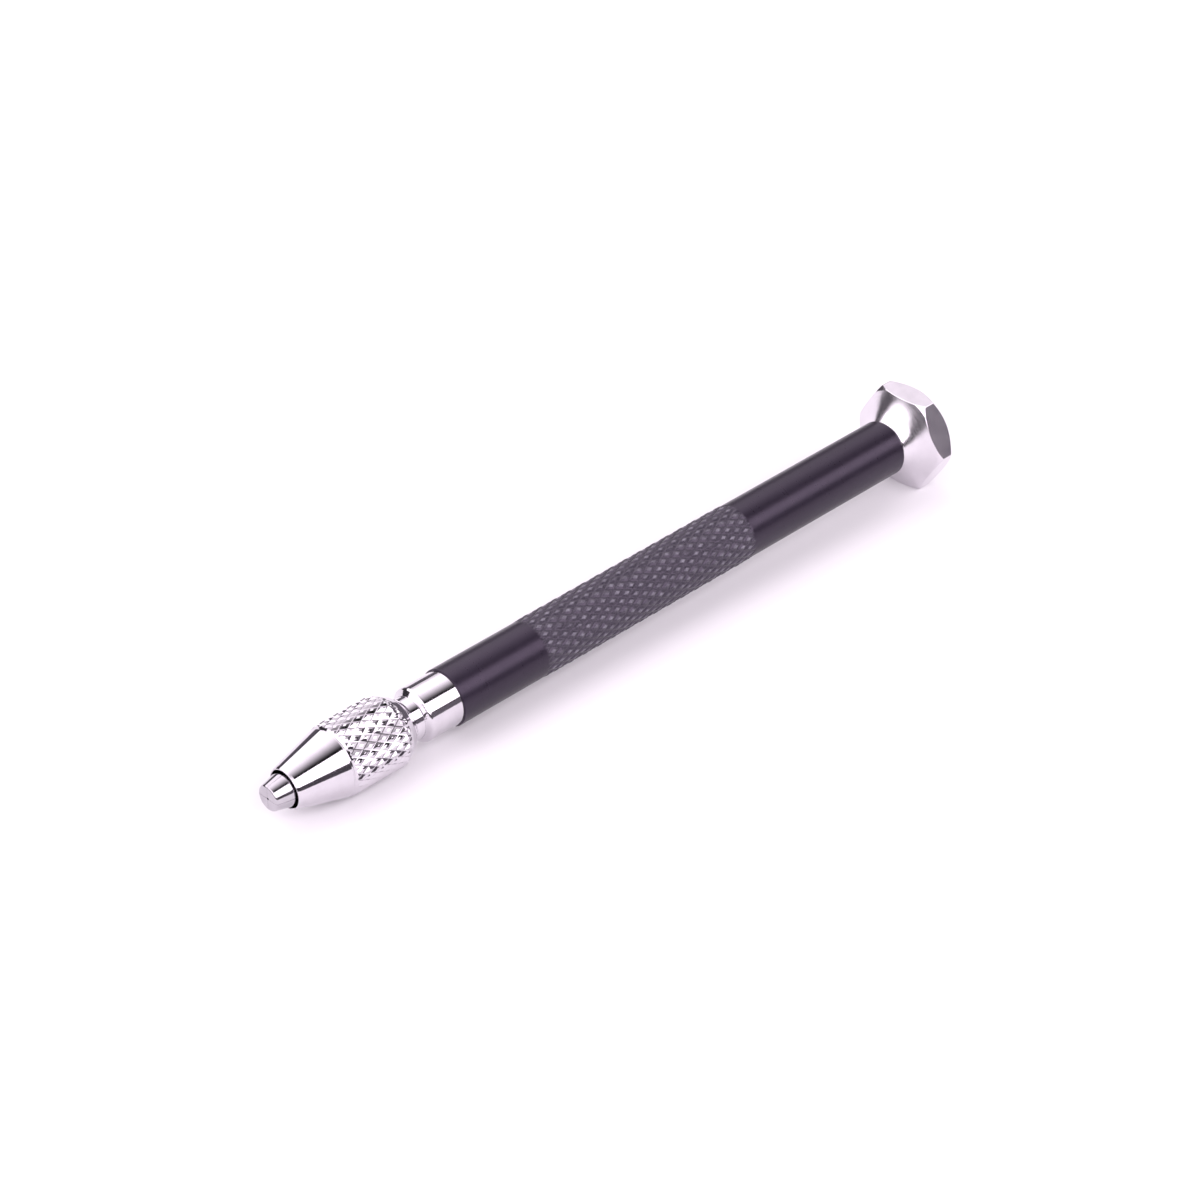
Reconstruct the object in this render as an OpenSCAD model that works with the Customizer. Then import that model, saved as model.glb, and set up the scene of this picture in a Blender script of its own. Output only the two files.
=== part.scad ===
// Slim pin vise (hand drill) for very fine drills: a split collet drawn into a
// tapered spindle by a knurled nose nut, a knurled tube handle and a hexagonal
// end cap that spins freely on a shoulder screw.
// Millimetres. The tool's axis is X, the collet mouth is at the origin, the cap
// is towards +X, and one flat of the hexagonal cap faces down (-Z).

/* [Handle tube] */
// Outside diameter of the plain part of the tube
handle_d = 7.5; // [7.4:0.1:8.2]
// Length of the tube
handle_l = 77.5; // [66:0.1:95]
// Bore of the tube
handle_bore_d = 5.8; // [5.6:0.1:6.0]
// Distance from the tube's front edge to the knurled grip
grip_start = 13.6; // [8:0.1:18]
// Length of the knurled grip
grip_l = 35.8; // [20:0.1:42]
// Height of the knurl's crests above the plain tube
grip_rise = 0.10; // [0.05:0.01:0.2]
// Radius on the tube's rear edge
handle_edge = 0.4; // [0.2:0.05:0.5]

/* [Chuck nut] */
// Distance that the collet stands out of the nose
tip_out = 2.5; // [1.5:0.1:3]
// Length of the nut
nut_l = 17.2; // [17:0.1:19]
// Diameter over the knurl
nut_d = 9.3; // [9.0:0.1:10]
// Diameter of the cone's front edge
nose_d = 5.5; // [5.3:0.1:5.8]
// Diameter of the cone's rear edge
cone_d = 8.9; // [8.6:0.1:9.0]
// Length of the cone with its front bevel
cone_l = 6.8; // [6.5:0.1:8]
// Clearance hole through the nose
nose_bore_d = 4.9; // [4.85:0.05:5.0]
// Length of the tapered rear end of the knurl
nut_taper_l = 2.0; // [1.5:0.1:2.5]

/* [Collet] */
// Diameter of the collet's cone at its mouth
collet_d = 3.28; // [3.2:0.02:3.3]
// Diameter of the collet inside the nose
collet_body_d = 4.28; // [4.1:0.02:4.28]
// Bore between the closed jaws
drill_d = 0.3; // [0.3:0.05:0.5]
// Length of the gripping bore
grip_bore_l = 6.0; // [4:0.5:6]
// Width of the slots between the closed jaws
slot_w = 0.06; // [0.06:0.02:0.12]
// Diameter of the shoulder that the nut pulls on
shoulder_d = 5.56; // [5.4:0.02:5.6]
// Diameter of the thick end of the collet's taper
taper_d = 5.1; // [4.9:0.1:5.2]
// Gap that stands for the bending root of each jaw
root_gap = 0.06; // [0.05:0.01:0.1]

/* [Spindle and ferrule] */
// Thread diameter of the spindle
thread_d = 6.0; // [5.9:0.1:6.0]
// Diameter of the neck behind the thread
neck_d = 5.6; // [5.1:0.1:5.7]
// Length of neck showing behind the closed nut
neck_l = 2.0; // [1.8:0.1:3]
// Diameter of the ferrule
ferrule_d = 7.1; // [6.9:0.1:7.2]
// Length of the ferrule in front of the tube
ferrule_l = 5.4; // [4:0.05:6]

/* [Hex cap] */
// Width across the flats
hex_af = 12.9; // [12:0.1:14]
// Length of the cap from its neck to its end face
cap_l = 6.3; // [6.2:0.1:6.5]
// Diameter of the cap's neck
cap_neck_d = 6.6; // [6.2:0.1:6.6]

/* [Swivel] */
// Diameter of the screw's shoulder
pivot_d = 2.6; // [2.4:0.1:2.6]
// Diameter of the screw's head
head_d = 4.6; // [4.4:0.1:4.8]

/* [Hidden] */

$fn = 96;
run = 0.05;                  // radial running clearance
press = 0.01;                // radial interference of the pressed pieces

nut_x0 = tip_out;            // nose face
nut_x1 = nut_x0 + nut_l;     // nut's rear face
seat_x = nut_x0 + 4.3;       // wall inside the nose that pulls the collet back
thread_r = thread_d / 2;

collet_r = collet_d / 2;
collet_k = 0.235;            // radius gained per millimetre on the collet's front
body_r = collet_body_d / 2;
shoulder_r = shoulder_d / 2;
thick_r = taper_d / 2;
shoulder_x = seat_x + run;   // collet's shoulder
taper_x0 = shoulder_x + 0.45;
taper_k = 0.2;               // radius lost per millimetre of taper
tail_r = 1.65;
taper_x1 = taper_x0 + (thick_r - tail_r - run) / taper_k;
root_x = 16;                 // bending root of the jaws
tail_x1 = 20;

spindle_x0 = taper_x0 + 1.0; // tapered mouth
neck_x0 = nut_x1 + 0.65;     // end of the thread
neck_r = neck_d / 2;
ferrule_x0 = nut_x1 + neck_l;
tube_x0 = ferrule_x0 + ferrule_l;
tube_x1 = tube_x0 + handle_l;
stem_r = 2.2;
stem_x1 = ferrule_x0 + 12.55;
ferrule_r = ferrule_d / 2;
handle_r = handle_d / 2;
bore_r = handle_bore_d / 2;

plug_x0 = tube_x1 - 8;
plug_x1 = tube_x1 - 0.2;
washer1_x1 = plug_x1 + 0.35;
cap_x0 = washer1_x1 + run;
cap_x1 = cap_x0 + cap_l;
pivot_r = pivot_d / 2;
bush_x1 = cap_x0 + 3.7;      // front of the bush's flange
flange_x1 = bush_x1 + 0.3;
washer2_x0 = flange_x1 + run;
head_x0 = washer2_x0 + 0.2;
head_x1 = head_x0 + 1.05;
disc_x0 = cap_x1 - 0.8;
hex_rc = hex_af / sqrt(3);
// The cap's hollow front: [radius beyond the neck, distance from the cap's front].
cap_curve = [[0, 0.06], [0.15, 0.261], [0.3, 0.427], [0.5, 0.62], [0.7, 0.799], [1, 1.044],
             [1.4, 1.331], [1.8, 1.588], [2.3, 1.892], [2.9, 2.23], [3.55, 2.572]];

// A turned piece: points are [radius, x].
module turned(pts) rotate([0, 90, 0]) rotate_extrude() polygon(pts);

// Points on a quarter of a rounded edge, from angle a0 to a1 about [r, x].
function round_edge(r, x, e, a0, a1, n = 6) =
    [for (i = [0:n]) let (a = a0 + (a1 - a0) * i / n) [r + e * cos(a), x + e * sin(a)]];

// Radius of the collet's taper, and of the spindle's mouth with clearance c.
function taper_r(x, c = 0) = thick_r - (x - taper_x0) * taper_k + c;

module chuck_nut() color([0.80, 0.80, 0.83]) turned([
    [nose_bore_d / 2, nut_x0 + 0.06], [nose_bore_d / 2 + 0.05, nut_x0],
    [nose_d / 2 - 0.15, nut_x0], [nose_d / 2, nut_x0 + 0.3],
    [cone_d / 2, nut_x0 + cone_l], [cone_d / 2 - 0.25, nut_x0 + cone_l + 0.10],
    [cone_d / 2 - 0.25, nut_x0 + cone_l + 0.20], [nut_d / 2, nut_x0 + cone_l + 0.60],
    [nut_d / 2, nut_x1 - nut_taper_l], [nut_d / 2 - 1.1, nut_x1],
    [thread_r + 0.25, nut_x1], [thread_r + run, nut_x1 - 0.2],
    [thread_r + run, seat_x], [nose_bore_d / 2, seat_x]]);

// One of the four jaws; a is its angle about the axis.
module jaw(a) intersection() {
    turned([[drill_d / 2, 0], [collet_r - 0.22, 0], [collet_r - 0.06, 0.05], [collet_r + 0.05, 0.22],
            [collet_r + 0.42 * collet_k, 0.42], [body_r, (body_r - collet_r) / collet_k],
            [body_r, shoulder_x], [shoulder_r, shoulder_x], [shoulder_r, shoulder_x + 0.25],
            [thick_r, shoulder_x + 0.40],
            [thick_r, taper_x0], [taper_r(taper_x1), taper_x1],
            [tail_r - 0.15, taper_x1 + 0.3], [tail_r - 0.15, root_x - root_gap],
            [0.8, root_x - root_gap], [0.8, grip_bore_l + 0.6], [drill_d / 2, grip_bore_l]]);
    rotate([a, 0, 0]) translate([-1, slot_w / 2, slot_w / 2]) cube([30, 6, 6]);
}
module collet_jaw_1() color([0.74, 0.74, 0.76]) jaw(0);
module collet_jaw_2() color([0.74, 0.74, 0.76]) jaw(90);
module collet_jaw_3() color([0.74, 0.74, 0.76]) jaw(180);
module collet_jaw_4() color([0.74, 0.74, 0.76]) jaw(270);

module collet_sleeve() color([0.74, 0.74, 0.76]) turned([
    [0.8, root_x], [tail_r - 0.15, root_x], [tail_r, root_x + 0.3],
    [tail_r, tail_x1 - 0.2], [tail_r - 0.2, tail_x1], [0.8, tail_x1]]);

module chuck_spindle() color([0.72, 0.72, 0.75]) turned([
    [taper_r(spindle_x0, run), spindle_x0], [thread_r - 0.3, spindle_x0],
    [thread_r, spindle_x0 + 0.3], [thread_r, neck_x0], [neck_r, neck_x0 + 0.2],
    [neck_r, ferrule_x0], [stem_r, ferrule_x0], [stem_r, stem_x1 - 0.3], [stem_r - 0.3, stem_x1],
    [0, stem_x1], [0, tail_x1 + 4.7], [tail_r + run, tail_x1 + 4],
    [tail_r + run, taper_x1 + 0.25], [taper_r(taper_x1, run), taper_x1]]);

module front_ferrule() color([0.82, 0.82, 0.85]) turned([
    [stem_r - press, ferrule_x0], [neck_r + 0.01, ferrule_x0],
    [ferrule_r - 0.15, ferrule_x0 + 0.45], [ferrule_r - 0.05, ferrule_x0 + 0.57],
    [ferrule_r, ferrule_x0 + 0.75], [ferrule_r, tube_x0],
    [bore_r + press, tube_x0], [bore_r + press, tube_x0 + 5.7],
    [bore_r - 0.3, tube_x0 + 6], [stem_r - press, tube_x0 + 6]]);

module handle_tube() color([0.12, 0.11, 0.14]) turned(concat(
    [[bore_r, tube_x0], [handle_r - 0.12, tube_x0], [handle_r, tube_x0 + 0.12],
     [handle_r, tube_x0 + grip_start],
     [handle_r + grip_rise, tube_x0 + grip_start + 0.3],
     [handle_r + grip_rise, tube_x0 + grip_start + grip_l - 0.3],
     [handle_r, tube_x0 + grip_start + grip_l]],
    round_edge(handle_r - handle_edge, tube_x1 - handle_edge, handle_edge, 0, 90),
    [[bore_r, tube_x1]]));

module rear_plug() color([0.76, 0.72, 0.52]) turned([
    [1.0 - press, plug_x0], [bore_r - 0.4, plug_x0], [bore_r + press, plug_x0 + 0.4],
    [bore_r + press, plug_x1], [1.0 - press, plug_x1]]);

module swivel_screw() color([0.62, 0.62, 0.64]) difference() {
    turned([[0, plug_x0 + 1.5], [0.7, plug_x0 + 1.5], [1.0, plug_x0 + 1.8],
            [1.0, plug_x1], [pivot_r, plug_x1], [pivot_r, head_x0],
            [head_d / 2, head_x0], [head_d / 2, head_x1 - 0.25],
            [head_d / 2 - 0.25, head_x1], [0, head_x1]]);
    translate([head_x1 - 0.5, -3, -0.3]) cube([1, 6, 0.6]);
}

module front_washer() color([0.70, 0.70, 0.72]) turned([
    [pivot_r + 0.1, plug_x1], [bore_r - 0.15, plug_x1],
    [bore_r - 0.15, washer1_x1], [pivot_r + 0.1, washer1_x1]]);

module rear_washer() color([0.70, 0.70, 0.72]) turned([
    [pivot_r + 0.1, washer2_x0], [2.5, washer2_x0], [2.5, head_x0], [pivot_r + 0.1, head_x0]]);

module cap_bush() color([0.80, 0.64, 0.30]) turned([
    [pivot_r + run, cap_x0 + 0.1], [2.0 + press - 0.2, cap_x0 + 0.1], [2.0 + press, cap_x0 + 0.3],
    [2.0 + press, bush_x1], [2.7, bush_x1], [2.7, flange_x1], [pivot_r + run, flange_x1]]);

// Neck and hollow front, a bevel on the corners, then a bevelled rear edge.
module hex_cap() color([0.84, 0.84, 0.88]) intersection() {
    rim = cap_curve[len(cap_curve) - 1];
    rim_r = cap_neck_d / 2 + rim[0];
    top_r = hex_rc + 0.4;
    turned(concat(
        [[2.0, cap_x0], [cap_neck_d / 2 - 0.08, cap_x0]],
        [for (p = cap_curve) [cap_neck_d / 2 + p[0], cap_x0 + p[1]]],
        [[top_r, cap_x0 + rim[1] + top_r - rim_r],
         [top_r, cap_x1 - (top_r - 5.75)], [5.75, cap_x1]],
        [[3.4, cap_x1], [3.4, disc_x0], [2.9, disc_x0], [2.9, bush_x1], [2.0, bush_x1]]));
    rotate([0, 90, 0]) rotate([0, 0, 30]) cylinder(r = hex_rc, h = 300, $fn = 6);
}

module cap_disc() color([0.84, 0.84, 0.88]) turned([
    [0, disc_x0], [3.4 + press, disc_x0], [3.4 + press, cap_x1 - 0.2],
    [3.2, cap_x1 - 0.05], [0, cap_x1 - 0.05]]);

chuck_nut();
collet_sleeve();
collet_jaw_1();
collet_jaw_2();
collet_jaw_3();
collet_jaw_4();
chuck_spindle();
front_ferrule();
handle_tube();
rear_plug();
swivel_screw();
front_washer();
rear_washer();
cap_bush();
hex_cap();
cap_disc();
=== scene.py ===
import math

import bmesh
import bpy
import numpy as np
from mathutils import Matrix, Vector


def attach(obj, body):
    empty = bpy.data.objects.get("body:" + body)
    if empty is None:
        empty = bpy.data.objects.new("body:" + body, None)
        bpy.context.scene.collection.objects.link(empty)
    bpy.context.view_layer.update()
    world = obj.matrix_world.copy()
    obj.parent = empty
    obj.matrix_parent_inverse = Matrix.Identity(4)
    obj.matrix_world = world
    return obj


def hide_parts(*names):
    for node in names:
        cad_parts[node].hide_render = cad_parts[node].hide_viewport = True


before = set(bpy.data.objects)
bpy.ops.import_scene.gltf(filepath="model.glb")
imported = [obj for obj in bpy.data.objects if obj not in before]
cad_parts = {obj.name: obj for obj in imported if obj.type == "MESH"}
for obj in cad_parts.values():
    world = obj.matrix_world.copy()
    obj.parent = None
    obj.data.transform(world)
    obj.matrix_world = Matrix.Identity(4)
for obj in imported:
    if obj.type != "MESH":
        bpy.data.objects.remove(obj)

# Shapes are written in millimetres, in the part's own frame: X is the tool's
# axis, the collet mouth is at the origin and the hexagonal cap is towards +X.
MM = 0.001
TAU = 2 * math.pi
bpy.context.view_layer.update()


# ---------------------------------------------------------------- shape helpers

def rounded(corners, steps=5, hold=0.05):
    """A closed section with its corners rounded: corners are (x, r, radius)."""
    pts = [np.array(c[:2], float) for c in corners]
    out = []
    n = len(pts)
    for i in range(n):
        p, a, b, rad = pts[i], pts[i - 1], pts[(i + 1) % n], corners[i][2]
        u, v = a - p, b - p
        lu, lv = np.linalg.norm(u), np.linalg.norm(v)
        u, v = u / lu, v / lv
        half = math.acos(max(-1.0, min(1.0, float(u @ v)))) / 2
        if rad <= 0 or half > math.radians(89):
            out.append(p)
            continue
        t = min(rad / math.tan(half), 0.47 * lu, 0.47 * lv)
        rad = t * math.tan(half)
        w = (u + v) / np.linalg.norm(u + v)
        c = p + w * rad / math.sin(half)
        s, e = p + u * t - c, p + v * t - c
        a0 = math.atan2(s[1], s[0])
        da = (math.atan2(e[1], e[0]) - a0 + math.pi) % TAU - math.pi
        for k in range(steps + 1):
            ang = a0 + da * k / steps
            out.append(c + rad * np.array([math.cos(ang), math.sin(ang)]))
    # a row near each end of a straight run keeps its shading straight
    full = []
    n = len(out)
    for i in range(n):
        p, q = out[i], out[(i + 1) % n]
        full.append(p)
        d = np.linalg.norm(q - p)
        if d > 3.2 * hold and max(p[1], q[1]) > 1e-6:
            cuts = [hold] + [d * k / (int(d / 2) + 1) for k in range(1, int(d / 2) + 1)] + [d - hold]
            full += [p + (q - p) * c / d for c in sorted(cuts)]
    return [(float(p[0]), float(p[1])) for p in full]


def mesh_object(name, verts, faces, material, body, nodes=(), slot=None, sharp=35):
    """A closed smooth-shaded piece that rides on a body and stands for its nodes."""
    mesh = bpy.data.meshes.new(name)
    mesh.from_pydata((np.asarray(verts, float) * MM).tolist(), [], faces)
    bm = bmesh.new()
    bm.from_mesh(mesh)
    bmesh.ops.recalc_face_normals(bm, faces=bm.faces)
    bm.to_mesh(mesh)
    bm.free()
    mesh.polygons.foreach_set("use_smooth", [True] * len(mesh.polygons))
    mesh.set_sharp_from_angle(angle=math.radians(sharp))
    mesh.materials.append(material)
    obj = bpy.data.objects.new(name, mesh)
    bpy.context.scene.collection.objects.link(obj)
    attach(obj, body)
    if nodes:
        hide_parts(*nodes)
    return obj


def lathe(rows, seg):
    """Vertices and faces of a closed section spun about X. A row is (x, r) and r
    may vary round the axis; rows with a third item are split along the knurl."""
    th = np.arange(seg) * TAU / seg
    verts, idx = [], []
    for row in rows:
        x, r = row[0], row[1]
        if np.ndim(r) == 0 and abs(r) < 1e-9:
            idx.append(np.full(seg, len(verts)))
            verts.append((x, 0.0, 0.0))
            continue
        rr = np.broadcast_to(np.asarray(r, float), (seg,))
        idx.append(np.arange(len(verts), len(verts) + seg))
        verts += list(zip(np.full(seg, x), rr * np.cos(th), rr * np.sin(th)))
    faces = []
    n = len(rows)
    for i in range(n):
        k = (i + 1) % n
        a, b = idx[i], idx[k]
        a_axis, b_axis = a[0] == a[-1], b[0] == b[-1]
        if a_axis and b_axis:
            continue
        a1, b1 = np.roll(a, -1), np.roll(b, -1)
        if a_axis:
            faces += np.stack([a, b, b1], 1).tolist()
        elif b_axis:
            faces += np.stack([a, b, a1], 1).tolist()
        elif len(rows[i]) > 2 and len(rows[k]) > 2:
            ra = np.broadcast_to(np.asarray(rows[i][1], float), (seg,))
            rb = np.broadcast_to(np.asarray(rows[k][1], float), (seg,))
            mid = rows[i][2]((rows[i][0] + rows[k][0]) / 2, th + TAU / seg / 2)
            d1 = np.abs((ra + np.roll(rb, -1)) / 2 - mid)
            d2 = np.abs((rb + np.roll(ra, -1)) / 2 - mid)
            one = d1 <= d2
            faces += np.stack([a, b, b1], 1)[one].tolist() + np.stack([a, b1, a1], 1)[one].tolist()
            faces += np.stack([a, b, a1], 1)[~one].tolist() + np.stack([b, b1, a1], 1)[~one].tolist()
        else:
            faces += np.stack([a, b, b1, a1], 1).tolist()
    return verts, faces


def knurl(x, th, count, pitch, depth, crest, dome, x0, th0):
    """Depth below the crests of a diamond knurl. crest is the share of each tooth taken
    by its flattened, slightly domed top, and dome the share of the depth in that dome."""
    a = count * (th - th0) / TAU
    b = (x - x0) / pitch

    def saw(s):
        return 1 - np.abs(2 * (s - np.floor(s)) - 1)

    u = np.minimum(saw(a + b), saw(a - b))
    side = np.where(u < 0.1, u * u / 0.2 + 0.05, u) * (1 - dome) / (1 - crest)
    top = 1 - dome * ((1 - u) / crest) ** 2
    return depth * (1 - np.where(u < 1 - crest, side, top))


def fade(x, a, b):
    """0 up to a, 1 from b, smooth between."""
    t = min(1.0, max(0.0, (x - a) / (b - a)))
    return t * t * (3 - 2 * t)


# ------------------------------------------------------------------- materials

def new_material(name):
    mat = bpy.data.materials.new(name)
    mat.use_nodes = True
    tree = mat.node_tree
    tree.nodes.clear()
    out = tree.nodes.new("ShaderNodeOutputMaterial")
    bsdf = tree.nodes.new("ShaderNodeBsdfPrincipled")
    tree.links.new(bsdf.outputs[0], out.inputs[0])
    return mat, tree, bsdf


def add(tree, kind, **inputs):
    node = tree.nodes.new(kind)
    for key, value in inputs.items():
        node.inputs[key.replace("_", " ")].default_value = value
    return node


def coords(tree, sx, sy, sz):
    """Object coordinates stretched by each axis, so that a grain can run along one."""
    tex = tree.nodes.new("ShaderNodeTexCoord")
    mapping = tree.nodes.new("ShaderNodeMapping")
    mapping.inputs["Scale"].default_value = (sx, sy, sz)
    tree.links.new(tex.outputs["Object"], mapping.inputs["Vector"])
    return mapping.outputs["Vector"]


def noise(tree, vector, scale, detail=3.0, rough=0.55):
    node = add(tree, "ShaderNodeTexNoise", Scale=scale, Detail=detail, Roughness=rough)
    tree.links.new(vector, node.inputs["Vector"])
    return node.outputs["Fac"]


def ramp(tree, fac, stops):
    node = tree.nodes.new("ShaderNodeValToRGB")
    el = node.color_ramp.elements
    while len(el) < len(stops):
        el.new(0.5)
    for e, (pos, col) in zip(el, stops):
        e.position = pos
        e.color = (*col, 1.0)
    tree.links.new(fac, node.inputs["Fac"])
    return node.outputs["Color"]


def spread(tree, fac, low, high, a=0.3, b=0.7):
    node = tree.nodes.new("ShaderNodeMapRange")
    for key, value in (("From Min", a), ("From Max", b), ("To Min", low), ("To Max", high)):
        node.inputs[key].default_value = value
    tree.links.new(fac, node.inputs["Value"])
    return node.outputs["Result"]


def bump(tree, bsdf, height, strength, distance):
    node = tree.nodes.new("ShaderNodeBump")
    node.inputs["Strength"].default_value = strength
    node.inputs["Distance"].default_value = distance
    tree.links.new(height, node.inputs["Height"])
    tree.links.new(node.outputs["Normal"], bsdf.inputs["Normal"])
    return node


def turned_metal(name, dark, light, rough_low, rough_high, line_scale, line_bump):
    """Metal with fine turning marks round the X axis and faint handling haze."""
    mat, tree, bsdf = new_material(name)
    bsdf.inputs["Metallic"].default_value = 1.0
    lines = noise(tree, coords(tree, 1.0, 0.04, 0.04), line_scale, 4.0, 0.6)
    haze = noise(tree, coords(tree, 1.0, 1.0, 1.0), 420.0, 4.0, 0.6)
    tree.links.new(ramp(tree, haze, [(0.3, dark), (0.7, light)]), bsdf.inputs["Base Color"])
    mix = tree.nodes.new("ShaderNodeMath")
    mix.operation = "MULTIPLY"
    tree.links.new(lines, mix.inputs[0])
    tree.links.new(haze, mix.inputs[1])
    tree.links.new(spread(tree, mix.outputs[0], rough_low, rough_high, 0.12, 0.42), bsdf.inputs["Roughness"])
    bump(tree, bsdf, lines, line_bump, 0.00001)
    return mat


polished = turned_metal("polished_plate", (0.60, 0.575, 0.61), (0.68, 0.655, 0.69), 0.045, 0.12, 9000.0, 0.05)
satin_plate = turned_metal("satin_plate", (0.60, 0.575, 0.61), (0.68, 0.655, 0.69), 0.07, 0.13, 9000.0, 0.05)
satin_cap = turned_metal("satin_cap", (0.70, 0.67, 0.71), (0.78, 0.75, 0.79), 0.16, 0.23, 9000.0, 0.02)
collet_metal = turned_metal("ground_collet", (0.45, 0.43, 0.46), (0.53, 0.51, 0.54), 0.06, 0.16, 12000.0, 0.08)
plain_steel = turned_metal("turned_steel", (0.46, 0.45, 0.47), (0.56, 0.55, 0.57), 0.22, 0.40, 7000.0, 0.25)
brass = turned_metal("turned_brass", (0.66, 0.47, 0.18), (0.80, 0.60, 0.28), 0.18, 0.36, 7000.0, 0.25)


def anodised_black():
    mat, tree, bsdf = new_material("black_anodised")

    def times(a, b):
        node = tree.nodes.new("ShaderNodeMath")
        node.operation = "MULTIPLY"
        tree.links.new(a, node.inputs[0])
        tree.links.new(b, node.inputs[1])
        return node.outputs[0]

    def blend(fac, a, b):
        node = tree.nodes.new("ShaderNodeMixRGB")
        for value, key in ((fac, "Fac"), (a, "Color1"), (b, "Color2")):
            tree.links.new(value, node.inputs[key])
        return node.outputs["Color"]

    grain = noise(tree, coords(tree, 1.0, 1.0, 1.0), 5200.0, 5.0, 0.62)
    cloud = noise(tree, coords(tree, 0.35, 1.0, 1.0), 160.0, 4.0, 0.6)
    speck = noise(tree, coords(tree, 1.0, 1.0, 1.0), 620.0, 2.0, 0.5)
    lines = noise(tree, coords(tree, 1.0, 0.05, 0.05), 5200.0, 3.0, 0.6)
    # the knurled zone is paler, and the crest tops carry a painted highlight: a lighter colour standing in for light
    # caught by the crests
    place = tree.nodes.new("ShaderNodeTexCoord")
    axes = tree.nodes.new("ShaderNodeSeparateXYZ")
    across = tree.nodes.new("ShaderNodeCombineXYZ")
    radius = tree.nodes.new("ShaderNodeVectorMath")
    radius.operation = "LENGTH"
    tree.links.new(place.outputs["Object"], axes.inputs[0])
    tree.links.new(axes.outputs["Y"], across.inputs["Y"])
    tree.links.new(axes.outputs["Z"], across.inputs["Z"])
    tree.links.new(across.outputs[0], radius.inputs[0])
    zone = times(spread(tree, axes.outputs["X"], 0.0, 1.0, 0.0406, 0.0411),
                 spread(tree, axes.outputs["X"], 1.0, 0.0, 0.0761, 0.0766))
    # mask of the painted highlight on the crest tops, varied from crest to crest
    crest = times(spread(tree, radius.outputs["Value"], 0.0, 1.0, 0.003785, 0.003850),
                  spread(tree, speck, 0.10, 1.0, 0.32, 0.68))
    plain = ramp(tree, cloud, [(0.25, (0.006, 0.004, 0.009)), (0.75, (0.011, 0.008, 0.015))])
    knurl_zone_colour = ramp(tree, grain, [(0.3, (0.020, 0.018, 0.024)), (0.7, (0.052, 0.048, 0.060))])
    # painted highlight colour on the crest tops; the knurled zone colour is only paler than the plain tube
    crest_highlight_colour = ramp(tree, grain, [(0.3, (0.11, 0.105, 0.125)), (0.7, (0.27, 0.26, 0.30))])
    tree.links.new(blend(times(zone, crest), blend(zone, plain, knurl_zone_colour), crest_highlight_colour), bsdf.inputs["Base Color"])
    bsdf.inputs["Metallic"].default_value = 0.0
    bsdf.inputs["IOR"].default_value = 1.48
    bsdf.inputs["Specular Tint"].default_value = (0.90, 0.74, 1.0, 1.0)
    mix = tree.nodes.new("ShaderNodeMath")
    mix.operation = "ADD"
    tree.links.new(grain, mix.inputs[0])
    tree.links.new(lines, mix.inputs[1])
    tree.links.new(spread(tree, mix.outputs[0], 0.26, 0.38, 0.7, 1.3), bsdf.inputs["Roughness"])
    bump(tree, bsdf, mix.outputs[0], 0.10, 0.00002)
    return mat


black = anodised_black()


def floor_material():
    mat, tree, bsdf = new_material("pale_floor")
    soft = noise(tree, coords(tree, 1.0, 1.0, 1.0), 9.0, 3.0, 0.5)
    tree.links.new(ramp(tree, soft, [(0.3, (0.80, 0.795, 0.805)), (0.7, (0.83, 0.825, 0.835))]),
                   bsdf.inputs["Base Color"])
    bsdf.inputs["Roughness"].default_value = 0.85
    bsdf.inputs["Specular IOR Level"].default_value = 0.1
    return mat


# ------------------------------------------------------------------- chuck nut

NUT_N, NUT_PITCH, NUT_M = 27, 2.07, 20
NUT_DEPTH, NUT_CREST, NUT_DOME = 0.186, 0.30, 0.012
NUT_X0, NUT_TH0 = 11.51, 152 * TAU / (NUT_N * NUT_M)      # where a crossing of the grooves lies


def nut_r(x, th):
    """Outside of the nut behind its groove: front bevel, knurled barrel and plain rear taper."""
    prof = float(np.interp(x, [9.55, 9.9, 17.7, 19.7], [4.24, 4.65, 4.65, 3.55]))
    k = knurl(x, th, NUT_N, NUT_PITCH, NUT_DEPTH, NUT_CREST, NUT_DOME, NUT_X0, NUT_TH0)
    if x <= 9.9:
        return np.minimum(prof, 4.65 - k)
    return prof - k * (1 - fade(x, 18.1, 18.75))


def build_nut():
    seg = NUT_N * NUT_M
    th = np.arange(seg) * TAU / seg
    step = NUT_PITCH / NUT_M
    front = rounded([(9.55, 4.24, 0), (9.48, 4.20, 0.03), (9.40, 4.20, 0.03), (9.30, 4.45, 0.10), (2.8, 2.75, 0.12),
                     (2.5, 2.6, 0.06), (2.5, 2.50, 0.03), (2.56, 2.45, 0.03), (6.8, 2.45, 0), (6.8, 3.05, 0),
                     (19.5, 3.05, 0), (19.7, 3.25, 0.02), (19.7, 3.55, 0.06)])
    # the section runs from the groove forward over the cone, through the bore, to the rear face
    rows = [p for p in front[1:] if not (p[0] < 19.69 and p[1] > 3.5 and p[0] > 9.5)]
    xs = sorted({9.55, 9.6, 9.9, 17.7} | {9.7, 9.8, 18.78, 18.9, 19.1, 19.3, 19.45, 19.6}
                | {round(NUT_X0 + step * i, 5) for i in range(-40, 80) if 9.62 < NUT_X0 + step * i < 18.75})
    barrel = [(x, nut_r(x, th), nut_r) for x in xs]
    rows = rows + list(reversed(barrel))
    return mesh_object("nose_nut", *lathe(rows, seg), polished, "chuck_nut", ["chuck_nut"], "polished_steel", sharp=15)


# ---------------------------------------------------------------- collet jaws

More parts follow.
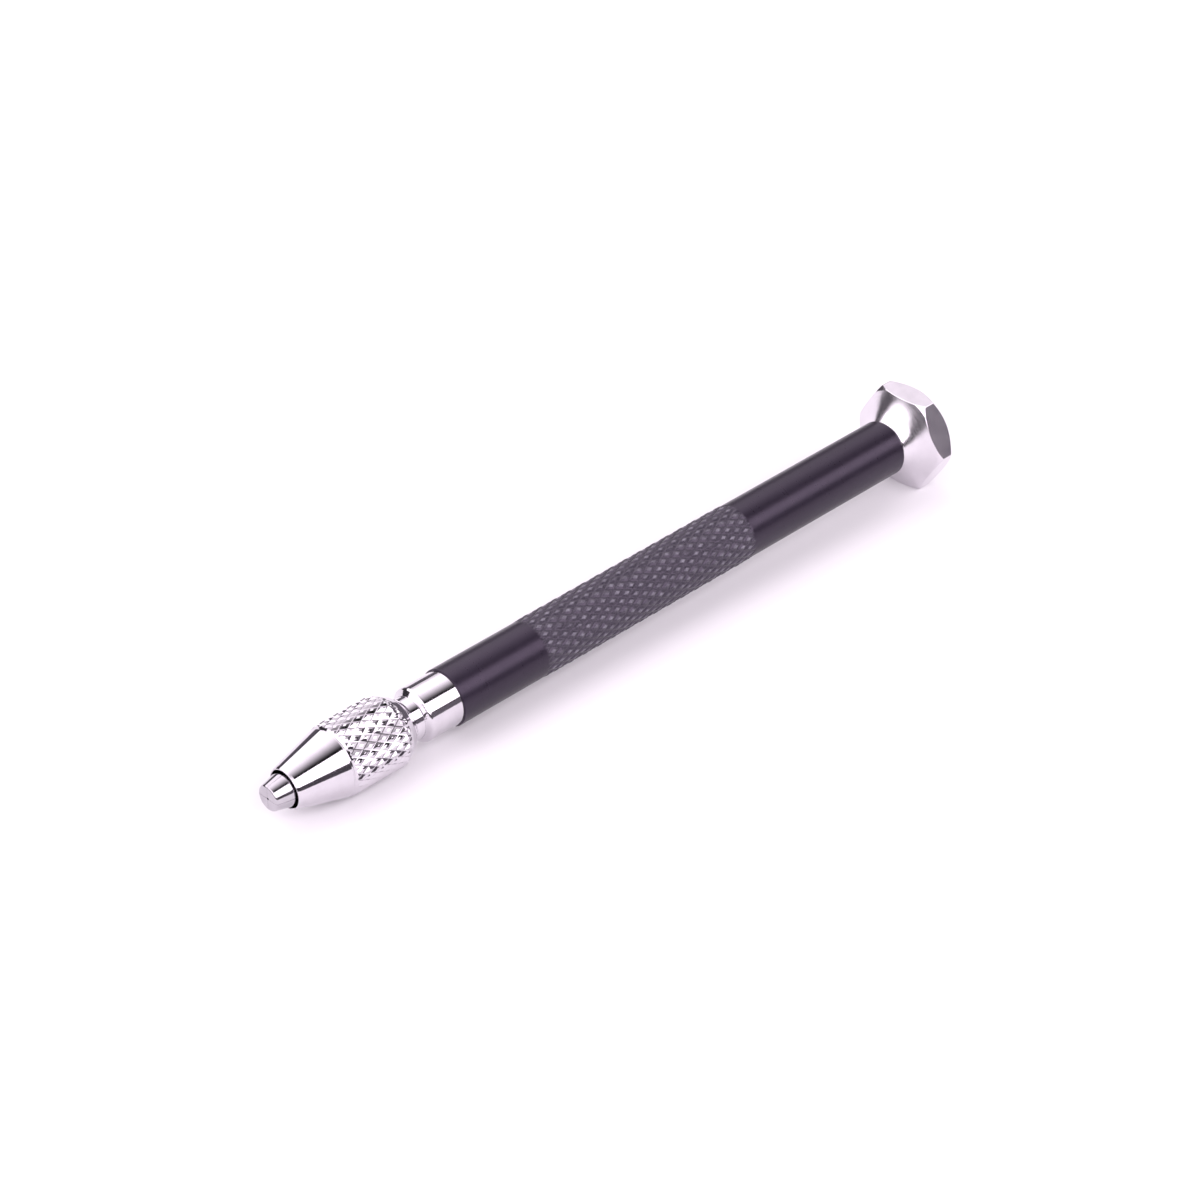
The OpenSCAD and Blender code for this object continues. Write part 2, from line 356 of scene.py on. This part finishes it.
def build_jaw(i):
    """A quarter of the split collet, closed, between its two slots."""
    turn = math.radians(90 * (i - 1))
    half = 0.03
    stations = [(0.0, 1.42, 0.19), (0.012, 1.50, 0.17), (0.05, 1.575, 0.15), (0.12, 1.645, 0.15), (0.22, 1.69, 0.15),
                (0.34, 1.722, 0.15), (0.42, 1.739, 0.15), (1.2, 1.922, 0.15), (2.0, 2.110, 0.15), (2.12, 2.134, 0.15),
                (2.25, 2.14, 0.15), (6.0, 2.14, 0.15), (6.6, 2.14, 0.8), (6.84, 2.14, 0.8),
                (6.85, 2.14, 0.8), (6.851, 2.74, 0.8), (6.89, 2.78, 0.8), (7.09, 2.78, 0.8), (7.24, 2.55, 0.8),
                (7.30, 2.55, 0.8), (9.4, 2.13, 0.8), (11.55, 1.70, 0.8), (11.85, 1.50, 0.8), (15.94, 1.50, 0.8)]
    n_out, n_in = 25, 9
    verts, faces = [], []
    for x, ro, ri in stations:
        gap = 0.012 + (half - 0.012) * fade(x, 0.3, 3.0)
        a0 = math.asin(gap / ro)
        outer = np.linspace(a0, math.pi / 2 - a0, n_out)
        b0 = math.asin(gap / ri)
        inner = np.linspace(math.pi / 2 - b0, b0, n_in)
        ring = [(ro * math.cos(t), ro * math.sin(t)) for t in outer] + [(ri * math.cos(t), ri * math.sin(t)) for t in inner]
        c, s = math.cos(turn), math.sin(turn)
        verts += [(x, y * c - z * s, y * s + z * c) for y, z in ring]
    m = n_out + n_in
    for k in range(len(stations) - 1):
        for j in range(m):
            j1 = (j + 1) % m
            faces.append((k * m + j, (k + 1) * m + j, (k + 1) * m + j1, k * m + j1))
    faces.append(tuple(range(m)))
    last = (len(stations) - 1) * m
    faces.append(tuple(range(last + m - 1, last - 1, -1)))
    return mesh_object(f"jaw_{i}_front", verts, faces, collet_metal, f"jaw_{i}", [f"collet_jaw_{i}"], "collet_steel", sharp=40)


# ------------------------------------------------------- spindle and ferrule

THREAD_PITCH = 0.5
NECK_R = 2.8


def thread_r(x, th):
    s = x / THREAD_PITCH - th / TAU
    f = s - np.floor(s)
    z = np.clip((1 - np.abs(2 * f - 1)) * 1.35 - 0.12, 0, 1)
    deep = 0.25 * fade(x, 8.7, 9.2) * (1 - fade(x, 20.35, 20.55)) + (3.0 - NECK_R) * fade(x, 20.35, 20.55)
    z = z * (1 - fade(x, 20.35, 20.55))
    return 3.0 - deep * (1 - z)


def build_spindle():
    seg = 128
    th = np.arange(seg) * TAU / seg
    step = THREAD_PITCH / 8
    xs = [8.6 + step * i for i in range(int((20.6 - 8.6) / step) + 1)]
    rows = [(x, thread_r(x, th)) for x in xs]
    body = rounded([(20.75, NECK_R, 0), (21.7, NECK_R, 0), (21.7, 2.2, 0),
                    (33.95, 2.2, 0.05), (34.25, 1.9, 0.05), (34.25, 0, 0), (24.7, 0, 0), (24.0, 1.70, 0),
                    (11.8, 1.70, 0), (11.55, 1.75, 0), (8.3, 2.40, 0.03), (8.3, 2.70, 0.03), (8.55, 2.95, 0.03)])
    return mesh_object("threaded_spindle", *lathe(rows + body, seg), polished, "handle", ["chuck_spindle"],
                       "polished_steel", sharp=40)


def build_ferrule():
    rows = rounded([(21.7, 2.19, 0), (21.7, 2.81, 0.02), (22.15, 3.40, 0.10), (22.27, 3.50, 0.10), (22.45, 3.55, 0.15),
                    (27.1, 3.55, 0.03), (27.1, 2.91, 0), (32.8, 2.91, 0.05), (33.1, 2.6, 0.05), (33.1, 2.19, 0)])
    return mesh_object("bright_ferrule", *lathe(rows, 256), satin_plate, "handle", ["front_ferrule"], "polished_steel")


# ------------------------------------------------------------------ handle tube

GRIP_N, GRIP_PITCH, GRIP_M = 20, 2.41, 14
GRIP_DEPTH, GRIP_CREST, GRIP_DOME = 0.20, 0.32, 0.08


def grip_r(x, th):
    k = knurl(x, th, GRIP_N, GRIP_PITCH, GRIP_DEPTH, GRIP_CREST, GRIP_DOME, 45.25, math.radians(124))
    on = fade(x, 40.6, 41.1) * (1 - fade(x, 76.1, 76.6))
    return 3.75 + on * (0.10 - k)


def build_tube():
    seg = GRIP_N * GRIP_M
    th = np.arange(seg) * TAU / seg
    step = GRIP_PITCH / GRIP_M
    section = rounded([(40.5, 3.75, 0), (27.1, 3.75, 0.10), (27.1, 2.9, 0), (104.6, 2.9, 0.03), (104.6, 3.75, 0.40),
                       (76.7, 3.75, 0)])
    rows = [p for p in section if not (40.5 < p[0] < 76.7 and p[1] > 3.5)]
    first = next(i for i, p in enumerate(rows) if abs(p[0] - 40.5) < 1e-9)
    rows = rows[first:] + rows[:first]
    xs = [45.25 + step * i for i in range(-40, 240) if 40.55 < 45.25 + step * i < 76.65]
    grip = [(x, grip_r(x, th), grip_r) for x in xs]
    return mesh_object("grip_tube", *lathe(rows + list(reversed(grip)), seg), black, "handle", ["handle_tube"],
                       "black_anodised", sharp=50)


# ---------------------------------------------------------------------- hex cap

HEX_H = 6.45          # half the width across flats
HEX_EDGE = 0.22       # rounding on the six long edges
CAP_RIM = 6.85        # where the hollow front meets the bevel on the corners


def hex_r(th):
    """Radius of a hexagon with flats at +-Z and slightly rounded corners."""
    f = (th + math.pi / 6 - math.pi / 2) % (math.pi / 3) - math.pi / 6
    a = abs(f)
    flat = HEX_H / math.cos(a)
    # rounded corner: an arc of HEX_EDGE centred on the corner's line
    d = (HEX_H - HEX_EDGE) / math.cos(math.pi / 6)
    b = math.pi / 6 - a
    y_t = HEX_H * math.tan(a)
    if y_t <= (HEX_H - HEX_EDGE) * math.tan(math.pi / 6):
        return flat
    return d * math.cos(b) + math.sqrt(max(0.0, HEX_EDGE ** 2 - (d * math.sin(b)) ** 2))


def build_cap():
    tangent = math.atan((HEX_H - HEX_EDGE) * math.tan(math.pi / 6) / HEX_H)
    side = [0.0]
    side += list(np.linspace(0, tangent - 0.012, 9)[1:])
    side += [tangent] + list(np.linspace(tangent, math.pi / 6, 5)[1:])
    sector = sorted({round(s, 9) for v in side for s in (v, -v)})[:-1]
    angles = [math.pi / 2 + k * math.pi / 3 + s for k in range(6) for s in sector]
    # the front opens out in a hollow curve: steepness by radius, summed from the neck
    curve_r = np.linspace(3.3, CAP_RIM, 60)
    steep = np.interp((curve_r[1:] + curve_r[:-1]) / 2, [3.3, 3.6, 4.7, 6.0, CAP_RIM], [34, 45, 56.5, 61, 63])
    curve_x = 104.86 + np.concatenate([[0], np.cumsum(np.diff(curve_r) / np.tan(np.radians(steep)))])
    ref = None
    verts = []
    for t in angles:
        h = hex_r(t)
        rim = min(h - 0.05, CAP_RIM)
        rs = np.linspace(3.3, rim, 27)
        front = [(float(x), float(r), 0) for x, r in zip(np.interp(rs, curve_r, curve_x), rs)]
        xf, xr = front[-1][0] + (h - rim), 111.1 - (h - 5.75)
        front[-1] = (*front[-1][:2], 0.03)
        corners = ([(104.8, 2.0, 0), (104.8, 3.22, 0.03)] + front +
                   [(xf, h, 0.03), (xr, h, 0.10), (111.1, 5.75, 0.10), (111.1, 3.46, 0.04),
                    (110.3, 3.4, 0), (110.3, 2.9, 0), (108.5, 2.9, 0), (108.5, 2.0, 0)])
        pts = cap_section(corners)
        if ref is None:
            ref = len(pts)
        verts += [(x, r * math.cos(t), r * math.sin(t)) for x, r in pts]
    n, m = len(angles), ref
    faces = []
    for k in range(n):
        k1 = (k + 1) % n
        for j in range(m):
            j1 = (j + 1) % m
            faces.append((k * m + j, k * m + j1, k1 * m + j1, k1 * m + j))
    return mesh_object("hexagon_cap", verts, faces, satin_cap, "cap", ["hex_cap"], "polished_steel", sharp=40)


def cap_section(corners):
    """Like rounded(), with the same number of points at every angle."""
    out = []
    pts = [np.array(c[:2], float) for c in corners]
    n = len(pts)
    for i in range(n):
        p, a, b, rad = pts[i], pts[i - 1], pts[(i + 1) % n], corners[i][2]
        if rad <= 0:
            out.append(p)
            continue
        u, v = a - p, b - p
        lu, lv = np.linalg.norm(u), np.linalg.norm(v)
        u, v = u / lu, v / lv
        half = math.acos(max(-1.0, min(1.0, float(u @ v)))) / 2
        t = min(rad / math.tan(half), 0.4 * lu, 0.4 * lv)
        rad = t * math.tan(half)
        w = (u + v) / np.linalg.norm(u + v)
        c = p + w * rad / math.sin(half)
        s, e = p + u * t - c, p + v * t - c
        a0 = math.atan2(s[1], s[0])
        da = (math.atan2(e[1], e[0]) - a0 + math.pi) % TAU - math.pi
        hold = 0.06
        out.append(p + u * (t + min(hold, 0.3 * (lu - t))))
        for k in range(6):
            ang = a0 + da * k / 5
            out.append(c + rad * np.array([math.cos(ang), math.sin(ang)]))
        out.append(p + v * (t + min(hold, 0.3 * (lv - t))))
    return [(float(p[0]), float(p[1])) for p in out]


def build_disc():
    rows = rounded([(110.3, 0, 0), (110.3, 3.41, 0), (110.88, 3.41, 0.04), (111.05, 3.22, 0.05), (111.05, 1.0, 0), (111.05, 0, 0)])
    return mesh_object("end_disc", *lathe(rows, 192), polished, "cap", ["cap_disc"], "polished_steel")


build_nut()
for n in range(1, 5):
    build_jaw(n)
build_spindle()
build_ferrule()
build_tube()
build_cap()
build_disc()

for node, mat in (("collet_sleeve", collet_metal), ("rear_plug", brass), ("swivel_screw", plain_steel),
                  ("front_washer", plain_steel), ("rear_washer", plain_steel), ("cap_bush", brass)):
    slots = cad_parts[node].data.materials
    if len(slots):
        for k in range(len(slots)):
            slots[k] = mat
    else:
        slots.append(mat)


# ------------------------------------------------------------------------ stage

def build_floor():
    """The tool rests on the nut's barrel and the cap's lower flat, so the floor leans a degree."""
    x0, z0, x1, z1 = 10.2, -4.65, 107.1, -6.45
    slope = math.atan2(z1 - z0, x1 - x0)
    mesh = bpy.data.meshes.new("floor")
    s = 3.0
    mesh.from_pydata([(-s, -s, 0), (s, -s, 0), (s, s, 0), (-s, s, 0)], [], [(0, 1, 2, 3)])
    mesh.materials.append(floor_material())
    obj = bpy.data.objects.new("floor", mesh)
    bpy.context.scene.collection.objects.link(obj)
    obj.matrix_world = (Matrix.Translation(Vector((x0, 0, z0 - 0.005)) * MM) @ Matrix.Rotation(-slope, 4, "Y"))
    return obj


build_floor()


def light_tent():
    """A wide ceiling of light over the tool: two banks with a dark gap between them, joined at the front end."""
    z, x0, x1, y0, y1 = 0.62, -2.5, 1.9, -1.9, 1.9
    mesh = bpy.data.meshes.new("light_tent")
    mesh.from_pydata([(x0, y0, 0), (x0, y1, 0), (x1, y1, 0), (x1, y0, 0)], [], [(0, 1, 2, 3)])
    mat = bpy.data.materials.new("light_tent")
    mat.use_nodes = True
    tree = mat.node_tree
    tree.nodes.clear()
    out = tree.nodes.new("ShaderNodeOutputMaterial")
    glow = tree.nodes.new("ShaderNodeEmission")
    glow.inputs["Color"].default_value = (1.0, 0.92, 1.0, 1.0)
    tree.links.new(glow.outputs[0], out.inputs[0])
    tex = tree.nodes.new("ShaderNodeTexCoord")
    xyz = tree.nodes.new("ShaderNodeSeparateXYZ")
    tree.links.new(tex.outputs["Object"], xyz.inputs[0])

    def edge(value, a, b, low=0.0, high=1.0):
        node = tree.nodes.new("ShaderNodeMapRange")
        node.interpolation_type = "SMOOTHSTEP"
        for key, v in (("From Min", a), ("From Max", b), ("To Min", low), ("To Max", high)):
            node.inputs[key].default_value = v
        tree.links.new(value, node.inputs["Value"])
        return node.outputs["Result"]

    def math_node(kind, a, b):
        node = tree.nodes.new("ShaderNodeMath")
        node.operation = kind
        tree.links.new(a, node.inputs[0])
        tree.links.new(b, node.inputs[1])
        return node.outputs[0]

    x, y = xyz.outputs["X"], xyz.outputs["Y"]
    back = math_node("MULTIPLY", edge(y, TENT["back"][0], TENT["back"][1], 0.0, TENT["back"][2]),
                     edge(x, 0.45, 0.80, 1.0, 0.55))
    front = edge(y, TENT["front"][1], TENT["front"][0], 0.0, TENT["front"][2])
    end = edge(x, TENT["end"][1], TENT["end"][0], 0.0, TENT["end"][2])
    total = math_node("MAXIMUM", math_node("MAXIMUM", back, front), end)
    # the ceiling ends about 19 degrees above the horizon, with a softer end in front of the nose
    reach = tree.nodes.new("ShaderNodeCombineXYZ")
    tree.links.new(math_node("MULTIPLY", x, edge(x, -0.4, 0.4, 0.7, 1.0)), reach.inputs[0])
    tree.links.new(y, reach.inputs[1])
    far = tree.nodes.new("ShaderNodeVectorMath")
    far.operation = "LENGTH"
    tree.links.new(reach.outputs[0], far.inputs[0])
    for value, a, b in ((far.outputs["Value"], 1.86, 1.76), (x, -2.05, -1.60), (y, 1.60, 1.42)):
        total = math_node("MULTIPLY", total, edge(value, a, b))
    tree.links.new(total, glow.inputs["Strength"])
    mesh.materials.append(mat)
    obj = bpy.data.objects.new("light_tent", mesh)
    bpy.context.scene.collection.objects.link(obj)
    obj.location = (0.05, 0, z)
    obj.visible_camera = False
    return obj


# edges and strength of each bank of light, in metres on the ceiling
TENT = {"back": (-0.30, 0.32, 2.0), "front": (-0.36, -0.33, 3.2), "end": (-0.42, -0.18, 2.2)}
light_tent()

world = bpy.data.worlds.new("studio")
bpy.context.scene.world = world
world.use_nodes = True
wt = world.node_tree
wt.nodes.clear()
w_out = wt.nodes.new("ShaderNodeOutputWorld")
w_bg = wt.nodes.new("ShaderNodeBackground")
w_dark = wt.nodes.new("ShaderNodeBackground")
w_mix = wt.nodes.new("ShaderNodeMixShader")
w_path = wt.nodes.new("ShaderNodeLightPath")
w_bg.inputs["Color"].default_value = (1.0, 0.94, 1.0, 1.0)
# the backdrop is white to the camera and gives the floor only a little light
w_back = wt.nodes.new("ShaderNodeMapRange")
for key, v in (("From Min", 0.0), ("From Max", 1.0), ("To Min", 0.06), ("To Max", 1.1)):
    w_back.inputs[key].default_value = v
wt.links.new(w_path.outputs["Is Camera Ray"], w_back.inputs["Value"])
wt.links.new(w_back.outputs["Result"], w_bg.inputs["Strength"])
w_dark.inputs["Color"].default_value = (1.0, 0.87, 1.05, 1.0)
# the room round the ceiling, seen in the polished metal, is darkest in front of the nose
w_dir = wt.nodes.new("ShaderNodeTexCoord")
w_xyz = wt.nodes.new("ShaderNodeSeparateXYZ")
w_turn = wt.nodes.new("ShaderNodeMapRange")
w_turn.interpolation_type = "SMOOTHSTEP"
for key, v in (("From Min", -0.3), ("From Max", 0.6), ("To Min", 0.05), ("To Max", 0.18)):
    w_turn.inputs[key].default_value = v
wt.links.new(w_dir.outputs["Generated"], w_xyz.inputs[0])
wt.links.new(w_xyz.outputs["X"], w_turn.inputs["Value"])
wt.links.new(w_turn.outputs["Result"], w_dark.inputs["Strength"])
wt.links.new(w_path.outputs["Is Glossy Ray"], w_mix.inputs[0])
wt.links.new(w_bg.outputs[0], w_mix.inputs[1])
wt.links.new(w_dark.outputs[0], w_mix.inputs[2])
wt.links.new(w_mix.outputs[0], w_out.inputs[0])

cam_data = bpy.data.cameras.new("camera")
cam_data.sensor_fit = "HORIZONTAL"
cam_data.sensor_width = 36.0
cam_data.lens = 105.0
cam_data.clip_start, cam_data.clip_end = 0.01, 20.0
camera = bpy.data.objects.new("camera", cam_data)
bpy.context.scene.collection.objects.link(camera)
az, el = math.radians(-44.0975), math.radians(35.9517)
right = Vector((math.cos(az), math.sin(az), 0))
back = Vector((math.sin(az) * math.cos(el), -math.cos(az) * math.cos(el), math.sin(el)))
up = back.cross(right)
camera.matrix_world = (Matrix.Translation(Vector((-188.416, -248.954, 252.794)) * MM)
                       @ Matrix((right, up, back)).transposed().to_4x4())
bpy.context.scene.camera = camera

bpy.context.scene.view_settings.view_transform = "Standard"
bpy.context.scene.view_settings.look = "None"
bpy.context.scene.view_settings.exposure = 0.0
